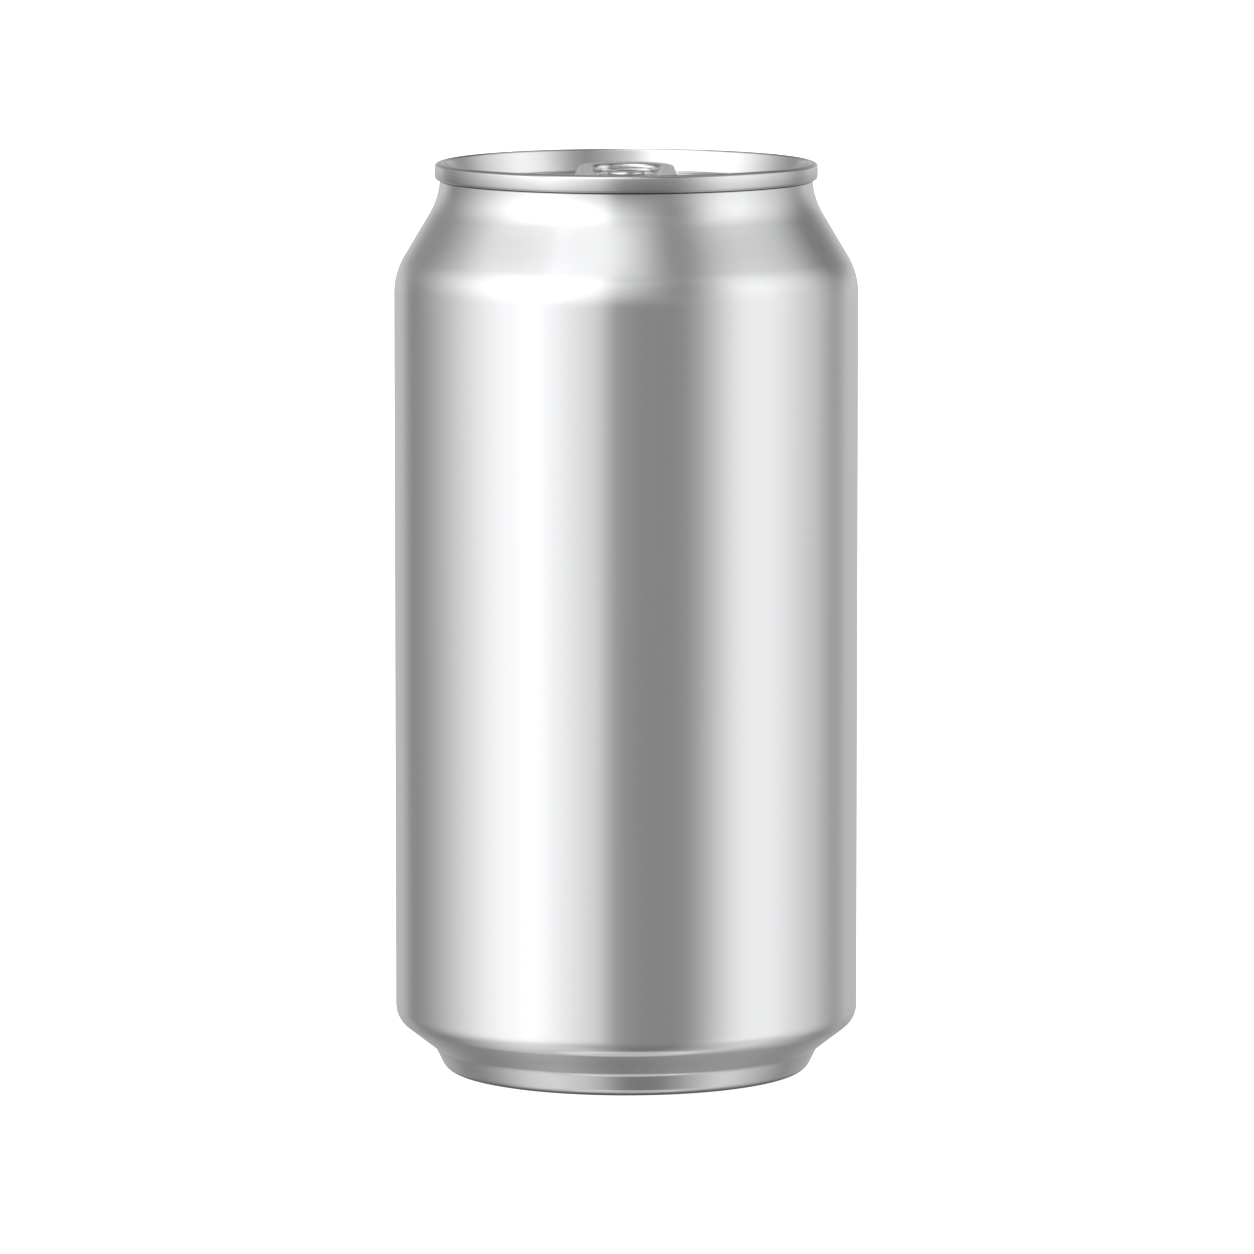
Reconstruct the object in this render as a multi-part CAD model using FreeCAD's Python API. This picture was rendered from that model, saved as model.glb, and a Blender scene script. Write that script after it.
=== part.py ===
import FreeCAD, Part
import math
import os

# A drinks can: the drawn and filled body, the end that is seamed onto it and the end's stay-on tab.
# Millimetres, +Z up, with the origin at the centre of the ring that the can stands on.
# The tab's nose points to the front, -Y. A slope is in degrees from upright. A bend is the radius
# of a rounded corner or edge.

# ---- overall sizes
can_height = 130.5
body_diameter = 66.2
seam_diameter = 54.6
stand_diameter = 48.6

# ---- neck and shoulder
seam_height = 2.45
seam_step = 0.72  # how far the seam stands out from the neck
neck_wall = 0.6
neck_bend = 10.6
neck_top_slope = 4.3
neck_slope = 30.8
shoulder_bend = 9.9

# ---- heel, chime and base dome
heel_bend = 3.4
heel_slope = 52.4
chime_bend = 1.7
chime_slope = 26.2
chime_flank = 2.05
nose_bend = 2.1
stand_flat = 0.5
leg_bend = 1.6
leg_slope = 6.0
leg_flank = 2.5
dome_edge_bend = 1.2
dome_edge_slope = 65.0

# ---- the end's seam, chuck wall and countersink
seam_edge_bend = 0.43
seam_tuck = 6.0  # how far the seam's bowed face leans in at its foot
seam_lean = 5.0  # and at its head
rim_outer_bend = 0.38
rim_crown_bend = 1.42
rim_crown_turn = 30.0
rim_inner_bend = 0.4
chuck_slope = 16.0
countersink_depth = 5.4
countersink_bend = 0.7
plug_floor = 0.7  # thickness under the countersink
plug_clearance = 0.05

# ---- the end's panel
panel_depth = 2.75
panel_edge_bend = 0.6
panel_rim_width = 1.7
step_depth = 0.3
step_bend = 0.25
step_turn = 50.0

# ---- the opening panel and the finger well
score_width = 20.0
score_length = 14.9
score_bend = 6.6
score_reach = 18.6  # from the rivet to the front of the score
score_groove = 0.3
score_depth = 0.12
hinge_width = 5.0
bead_inset = 1.5
bead_width = 0.9
bead_height = 0.22
bead_clearance = 0.8
well_bend = 30.0
well_depth = 0.55
well_reach = 12.8  # from the rivet to the middle of the well

# ---- tab
tab_length = 24.2
tab_width = 15.4
tab_end_width = 13.8
tab_thickness = 1.25
tab_nose_reach = 8.6  # from the rivet to the tip of the nose
tab_nose_bend = 6.6
tab_end_bend = 6.3
tab_end_bow = 0.4
tab_tilt = 1.8
tab_edge_bend = 0.54
tab_gap = 0.05  # left under the nose
finger_hole_width = 9.2
finger_hole_bend = 3.2
finger_hole_bow = 0.4
finger_bar = 3.7

# ---- the tab's web and the island that the rivet holds
web_radius = 5.4
web_reach = 5.2  # from the rivet to the curled edge at the nose
web_bend = 4.2
web_thickness = 0.4
web_drop = 0.22  # from the tab's top face, at the rivet, down to the web
island_radius = 3.9
island_slot = 0.6
island_root = 80.0  # degrees round the rivet where the island stays joined to the nose

# ---- rivet, drawn up from the panel
rivet_radius = 1.9
rivet_clearance = 0.1
rivet_shoulder_radius = 3.3
rivet_head_radius = 2.7
rivet_head_height = 0.4
rivet_head_bend = 0.28
rivet_head_gap = 0.03

# ---- places that follow from the sizes above
body_radius = body_diameter / 2
seam_radius = seam_diameter / 2
neck_radius = seam_radius - seam_step
seat_radius = neck_radius - neck_wall
ring_inner = (stand_diameter - stand_flat) / 2
ring_outer = (stand_diameter + stand_flat) / 2

seam_base = can_height - seam_height
seat_height = can_height - countersink_depth - plug_floor
panel_height = can_height - panel_depth
floor_height = panel_height - step_depth

tab_rise = tab_nose_reach * math.tan(math.radians(tab_tilt))
tab_base = floor_height + tab_gap + tab_rise  # the tab's underside at the rivet
tab_end = tab_length - tab_nose_reach
web_top = tab_base + tab_thickness - web_drop
web_base = web_top - web_thickness

OUTWARD, UPWARD, INWARD, DOWNWARD = 0.0, 90.0, 180.0, 270.0
UP = FreeCAD.Vector(0, 0, 1)
CENTRE = FreeCAD.Vector(0, 0, 0)


def sine(degrees):
    return math.sin(math.radians(degrees))


def cosine(degrees):
    return math.cos(math.radians(degrees))


def toward(heading, distance):
    return FreeCAD.Vector(cosine(heading), 0, sine(heading)) * distance


class Section:
    """Half of a round piece's section, drawn as one pen stroke.

    The pen has a place, as a radius and a height, and a heading in degrees from outward to up.
    """

    def __init__(self, radius, height, heading):
        self.here = FreeCAD.Vector(radius, 0, height)
        self.heading = heading
        self.edges = []

    def corner_to(self, radius, height):
        there = FreeCAD.Vector(radius, 0, height)
        if there.distanceToPoint(self.here) > 1e-6:
            self.edges.append(Part.LineSegment(self.here, there).toShape())
            self.here = there

    def line(self, length):
        there = self.here + toward(self.heading, length)
        self.corner_to(there.x, there.z)

    def line_to_height(self, height):
        self.line((height - self.here.z) / sine(self.heading))

    def line_to_radius(self, radius):
        self.line((radius - self.here.x) / cosine(self.heading))

    def bend(self, radius, heading):
        """Turn to a new heading, round an arc that is tangent to the run before it."""
        side = math.copysign(90.0, heading - self.heading)
        centre = self.here + toward(self.heading + side, radius)
        middle = centre + toward((self.heading + heading) / 2 - side, radius)
        end = centre + toward(heading - side, radius)
        self.edges.append(Part.Arc(self.here, middle, end).toShape())
        self.here = end
        self.heading = heading

    def join(self, other):
        """Walk another stroke backwards, from its end, where the pen must be, to its start."""
        self.edges += reversed(other.edges)
        self.here = other.edges[0].Vertexes[0].Point

    def turned(self):
        """The solid that the closed section sweeps out round the axis."""
        start = self.edges[0].Vertexes[0].Point
        self.corner_to(start.x, start.z)
        return Part.Face(Part.Wire(self.edges)).revolve(CENTRE, UP, 360)


def rounded_outline(corners, height):
    """A closed wire through corners given as (x, y, bend), each rounded by its own bend."""
    places = [FreeCAD.Vector(x, y, height) for x, y, bend in corners]
    arcs = []
    for i, here in enumerate(places):
        bend = corners[i][2]
        back = (places[i - 1] - here).normalize()
        ahead = (places[(i + 1) % len(places)] - here).normalize()
        half_angle = back.getAngle(ahead) / 2
        setback = bend / math.tan(half_angle)
        inset = bend / math.sin(half_angle) - bend
        middle = here + (back + ahead).normalize() * inset
        arcs.append((here + back * setback, middle, here + ahead * setback))
    edges = []
    for i, arc in enumerate(arcs):
        leave = arc[2]
        meet = arcs[(i + 1) % len(arcs)][0]
        edges.append(Part.Arc(*arc).toShape())
        if leave.distanceToPoint(meet) > 1e-6:
            edges.append(Part.LineSegment(leave, meet).toShape())
    return Part.Wire(edges)


def slab(outline, thickness):
    return Part.Face(outline).extrude(UP * thickness)


def disc(radius, base, top):
    return Part.makeCylinder(radius, top - base, UP * base)


def block(left, right, front, back, base, top):
    corner = FreeCAD.Vector(left, front, base)
    return Part.makeBox(right - left, back - front, top - base, corner)


def edges_at(solid, height):
    """The solid's edges that lie wholly at one height."""
    level = []
    for edge in solid.Edges:
        bounds = edge.BoundBox
        if abs(bounds.ZMin - height) < 1e-4 and abs(bounds.ZMax - height) < 1e-4:
            level.append(edge)
    return level


def base_dome():
    """The hollow underside, from the stand ring's inner edge to the top of the dome."""
    dome = Section(ring_inner, 0, INWARD)
    dome.bend(leg_bend, UPWARD + leg_slope)
    dome.line(leg_flank)
    dome.bend(dome_edge_bend, UPWARD + dome_edge_slope)
    dome.bend(dome.here.x / cosine(dome_edge_slope), INWARD)
    return dome


def heel_flank():
    """The length of the heel's straight run, which makes up what the bends leave of the tuck."""
    tuck_of_bends = (
        heel_bend * (1 - cosine(heel_slope))
        + chime_bend * (cosine(chime_slope) - cosine(heel_slope))
        + chime_flank * sine(chime_slope)
        + nose_bend * cosine(chime_slope)
    )
    return (body_radius - ring_outer - tuck_of_bends) / sine(heel_slope)


def seam_bow():
    """The bend of the seam's face, which fills the height between the edge and rim bends."""
    height_of_bends = (
        seam_edge_bend * (1 - sine(seam_tuck))
        + rim_outer_bend * (cosine(rim_crown_turn) - sine(seam_lean))
        + rim_crown_bend * (1 - cosine(rim_crown_turn))
    )
    return (seam_height - height_of_bends) / (sine(seam_tuck) + sine(seam_lean))


def seam_foot():
    """The radius where the seam's level underside ends and its edge bend starts."""
    return seam_radius - seam_bow() * (1 - cosine(seam_tuck)) - seam_edge_bend * cosine(seam_tuck)


def throat_bend():
    """The hollow bend from the neck out to the seam's foot."""
    return (seam_foot() - neck_radius) / cosine(neck_top_slope)


def neck_runs():
    """The neck's slope, the length of its straight run and the height from wall to seam.

    Where the body is hardly wider than the neck, the slope eases until the bends alone fit.
    """
    step = body_radius - neck_radius
    turned_back = neck_bend * cosine(neck_top_slope)
    easiest = (shoulder_bend + turned_back - step) / (shoulder_bend + neck_bend)
    slope = min(neck_slope, math.degrees(math.acos(easiest)))
    step_of_bends = shoulder_bend + turned_back - (shoulder_bend + neck_bend) * cosine(slope)
    flank = (step - step_of_bends) / sine(slope)
    rise_of_bends = (shoulder_bend + neck_bend) * sine(slope) - neck_bend * sine(neck_top_slope)
    rise_of_bends += throat_bend() * (1 + sine(neck_top_slope))
    return slope, flank, rise_of_bends + flank * cosine(slope)


def can_body():
    slope, flank, rise = neck_runs()
    body = Section(ring_outer, 0, OUTWARD)
    body.bend(nose_bend, UPWARD - chime_slope)
    body.line(chime_flank)
    body.bend(chime_bend, UPWARD - heel_slope)
    body.line(heel_flank())
    body.bend(heel_bend, UPWARD)
    body.line_to_height(seam_base - rise)
    body.bend(shoulder_bend, UPWARD + slope)
    body.line(flank)
    body.bend(neck_bend, UPWARD + neck_top_slope)
    body.bend(throat_bend(), OUTWARD)
    body.corner_to(seat_radius, seam_base)
    body.corner_to(seat_radius, seat_height)
    body.corner_to(0, seat_height)
    dome = base_dome()
    body.corner_to(0, dome.here.z)
    body.join(dome)
    return body.turned()


def end_section():
    """The end: its plug in the neck, the seam, the chuck wall, the countersink and the panel."""
    end = Section(seat_radius - plug_clearance, seat_height, UPWARD)
    end.line_to_height(seam_base)
    end.corner_to(seam_foot(), seam_base)
    end.heading = OUTWARD
    end.bend(seam_edge_bend, UPWARD - seam_tuck)
    end.bend(seam_bow(), UPWARD + seam_lean)
    end.bend(rim_outer_bend, INWARD - rim_crown_turn)
    end.bend(rim_crown_bend, INWARD)
    end.bend(rim_inner_bend, DOWNWARD - chuck_slope)
    end.line_to_height(can_height - countersink_depth + countersink_bend * (1 - sine(chuck_slope)))
    end.bend(countersink_bend, UPWARD)
    end.line_to_height(panel_height - panel_edge_bend)
    end.bend(panel_edge_bend, INWARD)
    end.line(panel_rim_width)
    end.bend(step_bend, INWARD + step_turn)
    end.line_to_height(floor_height + step_bend * (1 - cosine(step_turn)))
    end.bend(step_bend, INWARD)
    floor_radius = end.here.x
    end.line_to_radius(0)
    end.corner_to(0, seat_height)
    return end, floor_radius


def rivet():
    head_base = web_top + rivet_head_gap
    head_top = head_base + rivet_head_height
    head = disc(rivet_head_radius, head_base, head_top)
    head = head.makeFillet(rivet_head_bend, edges_at(head, head_top))
    shank = disc(rivet_radius, seat_height, head_top)
    shoulder = disc(rivet_shoulder_radius, seat_height, web_base)
    return shoulder.fuse([shank, head])


def opening_outline(inset, height):
    """The opening panel's outline, drawn in from the score by an inset."""
    half_width = score_width / 2 - inset
    front = inset - score_reach
    back = score_length - score_reach - inset
    bend = score_bend - inset
    corners = [
        (-half_width, front, bend),
        (half_width, front, bend),
        (half_width, back, bend),
        (-half_width, back, bend),
    ]
    return rounded_outline(corners, height)


def opening_ring(inset, width, base, thickness):
    """A band of even width that follows the opening panel's outline."""
    outer = slab(opening_outline(inset, base), thickness)
    return outer.cut(slab(opening_outline(inset + width, base), thickness))


def score():
    """The groove round the opening panel, left out along the hinge at the left."""
    groove = opening_ring(0, score_groove, floor_height - score_depth, score_depth)
    middle = score_length / 2 - score_reach
    hinge = block(
        -score_width, -score_width / 4,
        middle, middle + hinge_width,
        seat_height, can_height,
    )
    return groove.cut(hinge)


def opening_bead():
    """The stiffening bead of the opening panel, kept clear of the tab's nose."""
    bead = opening_ring(bead_inset, bead_width, floor_height - bead_height, 2 * bead_height)
    ahead_of_nose = block(
        -score_width, score_width,
        -2 * score_reach, -tab_nose_reach - bead_clearance,
        seat_height, can_height,
    )
    return bead.common(ahead_of_nose)


def finger_well(floor_radius):
    """The bowl under the tab's finger end, within the sunk part of the panel."""
    middle = FreeCAD.Vector(0, well_reach, floor_height - well_depth + well_bend)
    bowl = Part.makeSphere(well_bend, middle)
    return bowl.common(disc(floor_radius, seat_height, panel_height))


def can_lid():
    section, floor_radius = end_section()
    lid = section.turned()
    lid = lid.cut([score(), finger_well(floor_radius)])
    return lid.fuse([opening_bead(), rivet()])


def tab_outline():
    half_nose = tab_width / 2
    half_end = tab_end_width / 2
    corners = [
        (-half_nose, -tab_nose_reach, tab_nose_bend),
        (half_nose, -tab_nose_reach, tab_nose_bend),
        (half_end, tab_end - tab_end_bow, tab_end_bend),
        (0, tab_end, tab_end_width),
        (-half_end, tab_end - tab_end_bow, tab_end_bend),
    ]
    return rounded_outline(corners, 0)


def tab_opening_outline():
    """The inside of the curled edge: round at the nose, where the web fills it, then the hole."""
    half = finger_hole_width / 2
    far = tab_end - finger_bar
    corners = [
        (-half, -web_reach, web_bend),
        (half, -web_reach, web_bend),
        (half, far - finger_hole_bow, finger_hole_bend),
        (0, far, finger_hole_width),
        (-half, far - finger_hole_bow, finger_hole_bend),
    ]
    return rounded_outline(corners, 0)


def curled_edge():
    """The tab's rolled edge all round, tilted so that the finger end stands highest."""
    ring = slab(tab_outline(), tab_thickness)
    ring = ring.cut(slab(tab_opening_outline(), tab_thickness))
    ring = ring.makeFillet(tab_edge_bend, edges_at(ring, 0) + edges_at(ring, tab_thickness))
    ring.rotate(CENTRE, FreeCAD.Vector(1, 0, 0), tab_tilt)
    ring.translate(UP * tab_base)
    return ring


def island_gap():
    """The slot round the rivet's island, open everywhere but at the nose."""
    outer = Part.makeCylinder(
        island_radius + island_slot,
        web_thickness,
        UP * web_base,
        UP,
        360 - island_root,
    )
    outer.rotate(CENTRE, UP, island_root / 2 - 90)
    return outer.cut(disc(island_radius, web_base, web_top))


def tab():
    web = disc(web_radius, web_base, web_top)
    pierced = disc(rivet_radius + rivet_clearance, web_base, web_top)
    web = web.cut([island_gap(), pierced])
    return curled_edge().fuse(web)


def save(shape, node):
    solid = shape.removeSplitter()
    solid.Solids[0].exportStep(os.path.join("parts", node + ".step"))
    print(node, "solids", len(solid.Solids), "valid", solid.isValid(), "mm3", round(solid.Volume, 1))


os.makedirs("parts", exist_ok=True)
save(can_body(), "can_body")
save(can_lid(), "can_lid")
save(tab(), "tab")
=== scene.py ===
"""Drinks can: a drawn body, its seamed-on end and the end's stay-on tab, in a plain white studio.

Lengths are in metres, slopes and turns in degrees. The can stands on the origin with its tab's nose
to the front, -Y. A slope is measured from upright, and a bend is the radius of a rounded corner.
"""

import math
from collections import namedtuple

import bmesh
import bpy
from mathutils import Matrix, Vector


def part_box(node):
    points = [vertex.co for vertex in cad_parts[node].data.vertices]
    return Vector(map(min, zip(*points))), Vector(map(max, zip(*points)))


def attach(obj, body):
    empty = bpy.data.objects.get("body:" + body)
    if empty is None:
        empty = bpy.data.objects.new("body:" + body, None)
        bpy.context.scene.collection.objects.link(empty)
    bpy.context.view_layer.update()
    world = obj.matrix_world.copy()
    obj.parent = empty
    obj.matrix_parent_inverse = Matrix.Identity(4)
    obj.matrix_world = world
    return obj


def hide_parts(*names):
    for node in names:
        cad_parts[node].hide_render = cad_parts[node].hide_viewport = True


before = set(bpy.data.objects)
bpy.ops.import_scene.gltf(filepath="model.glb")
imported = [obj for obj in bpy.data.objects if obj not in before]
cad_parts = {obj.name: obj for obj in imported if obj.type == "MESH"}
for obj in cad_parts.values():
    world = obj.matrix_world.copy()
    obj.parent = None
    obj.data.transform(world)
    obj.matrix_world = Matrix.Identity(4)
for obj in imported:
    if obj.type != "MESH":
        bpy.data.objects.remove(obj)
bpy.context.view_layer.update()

bl_info = {
    "name": "Drinks Can",
    "version": (1, 0, 0),
    "blender": (4, 5, 0),
    "location": "View3D > Sidebar > Drinks Can",
    "description": "Models a plain aluminium drinks can with a stay-on tab, in a studio",
    "category": "Add Mesh",
}

MM = 0.001
OUTWARD, UPWARD, INWARD, DOWNWARD = 0.0, 90.0, 180.0, 270.0

ROUND_STEPS = 256  # faces round the can
SMALL_ROUND_STEPS = 96  # faces round the rivet, the finger well and the like
CORNER_STEPS = 12  # faces round the corner of a flat shape
BEND_STEP = 5.0  # degrees that one face of a bend turns
LONGEST_RUN = 2.5 * MM  # the longest face along a straight run
MERGE_DISTANCE = 0.0005 * MM
SHARP_ANGLE = 35.0
FOLD_ANGLE = 1.0  # radians; an edge that turns more than this is a fold to round off

body_low, body_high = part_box("can_body")
end_low, end_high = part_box("can_lid")


def length(name, description, default):
    return bpy.props.FloatProperty(
        name=name,
        description=description,
        default=default,
        min=0.0,
        precision=5,
        unit="LENGTH",
    )


def angle(name, description, degrees):
    return bpy.props.FloatProperty(
        name=name,
        description=description,
        default=math.radians(degrees),
        subtype="ANGLE",
    )


def share(name, description, default):
    return bpy.props.FloatProperty(
        name=name,
        description=description,
        default=default,
        min=0.0,
        soft_max=1.0,
        subtype="FACTOR",
    )


def colour(name, description, default):
    return bpy.props.FloatVectorProperty(
        name=name,
        description=description,
        default=default,
        min=0.0,
        max=1.0,
        size=4,
        subtype="COLOR",
    )


class BodySettings(bpy.types.PropertyGroup):
    diameter: length("Diameter", "Width of the straight wall", body_high.x - body_low.x)
    stand_diameter: length("Stand diameter", "Middle of the ring that the can stands on", 48.6 * MM)
    stand_flat: length("Stand flat", "Width of the level part of the stand ring", 0.5 * MM)
    neck_slope: angle("Neck slope", "Slope of the neck's straight run", 30.8)
    neck_bend: length("Neck bend", "Bend between the neck's slope and the seam", 10.6 * MM)
    shoulder_bend: length("Shoulder bend", "Bend between the wall and the neck's slope", 9.9 * MM)
    heel_slope: angle("Heel slope", "Slope of the tucked-in heel", 52.4)
    heel_bend: length("Heel bend", "Bend between the wall and the heel", 3.4 * MM)
    chime_slope: angle("Chime slope", "Slope of the chime above the stand ring", 26.2)
    chime_bend: length("Chime bend", "Hollow bend between the heel and the chime", 1.7 * MM)
    chime_flank: length("Chime flank", "Length of the chime's straight run", 2.05 * MM)
    nose_bend: length("Nose bend", "Bend from the chime down to the stand ring", 2.1 * MM)
    leg_slope: angle("Leg slope", "Slope of the wall inside the stand ring", 6.0)
    leg_bend: length("Leg bend", "Bend from the stand ring up to its inside wall", 1.6 * MM)
    leg_flank: length("Leg flank", "Length of the wall inside the stand ring", 2.5 * MM)
    dome_slope: angle("Dome slope", "Slope of the dome at its edge", 65.0)
    dome_edge_bend: length("Dome edge bend", "Bend between the dome and its leg", 1.2 * MM)


class EndSettings(bpy.types.PropertyGroup):
    seam_height: length("Seam height", "Height of the rolled seam", 2.45 * MM)
    seam_step: length("Seam step", "How far the seam stands out from the neck", 0.72 * MM)
    seam_edge_bend: length("Seam edge bend", "Bend under the seam", 0.43 * MM)
    seam_tuck: angle("Seam tuck", "How far the seam's bowed face leans in at its foot", 6.0)
    seam_lean: angle("Seam lean", "How far the seam's bowed face leans in at its head", 5.0)
    rim_outer_bend: length("Rim outer bend", "Bend at the outside of the rim", 0.38 * MM)
    rim_crown_bend: length("Rim crown bend", "Bend over the top of the rim", 1.42 * MM)
    rim_crown_turn: angle("Rim crown turn", "How much of the rim the crown bend covers", 30.0)
    rim_inner_bend: length("Rim inner bend", "Bend at the inside of the rim", 0.4 * MM)
    chuck_slope: angle("Chuck slope", "Slope of the wall inside the rim", 16.0)
    countersink_depth: length("Countersink depth", "Rim to the bottom of the groove", 5.4 * MM)
    countersink_bend: length("Countersink bend", "Bend at the bottom of the groove", 0.7 * MM)
    panel_depth: length("Panel depth", "Rim to the edge of the panel", 2.75 * MM)
    panel_edge_bend: length("Panel edge bend", "Bend at the edge of the panel", 0.6 * MM)
    panel_rim_width: length("Panel rim width", "Level ring round the sunk floor", 1.7 * MM)
    step_depth: length("Step depth", "Panel's edge down to its floor", 0.3 * MM)
    step_bend: length("Step bend", "Bends of the step down to the floor", 0.25 * MM)
    step_turn: angle("Step turn", "How steep the step is, from level", 50.0)


class TabSettings(bpy.types.PropertyGroup):
    length: length("Length", "Nose to finger end", 24.2 * MM)
    width: length("Width", "Width at the nose", 15.4 * MM)
    end_width: length("End width", "Width at the finger end", 13.8 * MM)
    thickness: length("Thickness", "Thickness of the rolled edge", 1.25 * MM)
    nose_reach: length("Nose reach", "Rivet to the tip of the nose", 8.6 * MM)
    tilt: angle("Tilt", "How much the finger end is raised", 1.8)
    hole_width: length("Finger hole width", "Width of the finger hole", 9.2 * MM)
    finger_bar: length("Finger bar", "Rolled bar behind the finger hole", 3.7 * MM)


class FinishSettings(bpy.types.PropertyGroup):
    metal: colour("Metal", "Colour of the bare aluminium", (0.90, 0.905, 0.915, 1.0))
    wall_roughness: share("Wall roughness", "How satin the drawn wall is", 0.17)
    end_roughness: share("End roughness", "How satin the rolled sheet of the end is", 0.2)
    tab_roughness: share("Tab roughness", "How satin the tab is", 0.16)


class StudioSettings(bpy.types.PropertyGroup):
    floor_colour: colour("Floor", "Colour of the floor", (0.93, 0.93, 0.93, 1.0))
    floor_glow: share("Floor glow", "How much the floor is lit from below", 1.0)
    floor_size: length("Floor size", "Half the width of the floor", 7.0)
    overhead_power: bpy.props.FloatProperty(
        name="Overhead power",
        description="Power of the soft light over the floor",
        default=60.0,
        unit="POWER",
    )
    camera_distance: length("Camera distance", "Camera to the middle of the can", 1.4)
    camera_elevation: angle("Camera elevation", "How far the camera looks down", 6.83)
    camera_lens: bpy.props.FloatProperty(
        name="Lens",
        description="Focal length",
        default=280.7,
        unit="CAMERA",
    )


# ---- drawing and spinning sections


def toward(heading, distance):
    turn = math.radians(heading)
    return Vector((math.cos(turn), 0, math.sin(turn))) * distance


def turn_on(mesh, tip, centre, axis, turn):
    """Draw on from a vertex, round a centre, and give the new tip."""
    spun = bmesh.ops.spin(mesh, geom=[tip], cent=centre, axis=axis, angle=turn, steps=1)
    return next(g for g in spun["geom_last"] if isinstance(g, bmesh.types.BMVert))


class Stroke:
    """A half section drawn with the tip of a pen, ready to be spun into a round piece.

    The tip is a vertex, and the pen's heading is in degrees from outward to up.
    """

    def __init__(self, mesh, radius, height, heading, axis_y=0.0):
        self.mesh = mesh
        self.axis = Vector((0, axis_y, 0))
        self.tip = mesh.verts.new(self.axis + Vector((radius, 0, height)))
        self.drawn = [self.tip]
        self.heading = heading

    def corner_to(self, radius, height):
        """Draw straight to a place, in runs short enough to shade evenly."""
        way = self.axis + Vector((radius, 0, height)) - self.tip.co
        runs = max(1, math.ceil(way.length / LONGEST_RUN))
        for _ in range(runs):
            grown = bmesh.ops.extrude_vert_indiv(self.mesh, verts=[self.tip])
            self.tip = grown["verts"][0]
            self.drawn.append(self.tip)
            bmesh.ops.translate(self.mesh, verts=[self.tip], vec=way / runs)

    def line(self, distance):
        end = self.tip.co + toward(self.heading, distance)
        self.corner_to(end.x, end.z)

    def line_to_height(self, height):
        self.line((height - self.tip.co.z) / math.sin(math.radians(self.heading)))

    def line_to_radius(self, radius):
        self.line((radius - self.tip.co.x) / math.cos(math.radians(self.heading)))

    def bend(self, radius, heading):
        """Turn to a new heading, round an arc that is tangent to the run before it."""
        turn = heading - self.heading
        centre = self.tip.co + toward(self.heading + math.copysign(90.0, turn), radius)
        steps = max(3, math.ceil(abs(turn) / BEND_STEP))
        for _ in range(steps):
            self.tip = turn_on(self.mesh, self.tip, centre, (0, -1, 0), math.radians(turn / steps))
            self.drawn.append(self.tip)
        self.heading = heading

    def spin(self, steps=ROUND_STEPS):
        """Spin what was drawn once round the upright axis."""
        edges = {edge for vert in self.drawn for edge in vert.link_edges}
        bmesh.ops.spin(
            self.mesh,
            geom=self.drawn + list(edges),
            cent=self.axis,
            axis=(0, 0, 1),
            angle=2 * math.pi,
            steps=steps,
            use_merge=True,
        )


def round_off(mesh, parts, affect, offset, steps):
    bmesh.ops.bevel(
        mesh,
        geom=parts,
        offset=offset,
        offset_type="OFFSET",
        segments=steps,
        profile=0.5,
        affect=affect,
        material=-1,
    )


def folds(mesh):
    return [e for e in mesh.edges if len(e.link_faces) == 2 and e.calc_face_angle() > FOLD_ANGLE]


def finish_piece(name, mesh, node, material):
    """Close the bmesh into an object that rides with the can and stands for a CAD node."""
    bmesh.ops.remove_doubles(mesh, verts=mesh.verts[:], dist=MERGE_DISTANCE)
    bmesh.ops.recalc_face_normals(mesh, faces=mesh.faces[:])
    data = bpy.data.meshes.new(name)
    mesh.to_mesh(data)
    mesh.free()
    data.shade_smooth()
    data.set_sharp_from_angle(angle=math.radians(SHARP_ANGLE))
    data.materials.append(material)
    piece = bpy.data.objects.new(name, data)
    bpy.context.collection.objects.link(piece)
    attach(piece, "root")
    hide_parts(node)
    return piece


# ---- the body


NECK_WALL = 0.6 * MM
NECK_TOP_SLOPE = 4.3
PLUG_CLEARANCE = 0.05 * MM


def neck_radius():
    return end_high.x - bpy.context.scene.can_end.seam_step


def seam_base():
    return end_high.z - bpy.context.scene.can_end.seam_height


def seam_bow(end):
    """The bend of the seam's face, which fills the height between the edge and rim bends."""
    height_of_bends = (
        end.seam_edge_bend * (1 - math.sin(end.seam_tuck))
        + end.rim_outer_bend * (math.cos(end.rim_crown_turn) - math.sin(end.seam_lean))
        + end.rim_crown_bend * (1 - math.cos(end.rim_crown_turn))
    )
    return (end.seam_height - height_of_bends) / (math.sin(end.seam_tuck) + math.sin(end.seam_lean))


def seam_foot(end):
    """The radius where the seam's level underside ends and its edge bend starts."""
    tuck = seam_bow(end) * (1 - math.cos(end.seam_tuck))
    return end_high.x - tuck - end.seam_edge_bend * math.cos(end.seam_tuck)


def throat_bend():
    """The hollow bend from the neck out to the seam's foot."""
    step = seam_foot(bpy.context.scene.can_end) - neck_radius()
    return step / math.cos(math.radians(NECK_TOP_SLOPE))


def draw_dome(stroke, body):
    """The hollow underside, from the stand ring's inner edge to the top of the dome."""
    dome_slope = math.degrees(body.dome_slope)
    stroke.bend(body.leg_bend, UPWARD + math.degrees(body.leg_slope))
    stroke.line(body.leg_flank)
    stroke.bend(body.dome_edge_bend, UPWARD + dome_slope)
    stroke.bend(stroke.tip.co.x / math.cos(body.dome_slope), INWARD)


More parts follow.
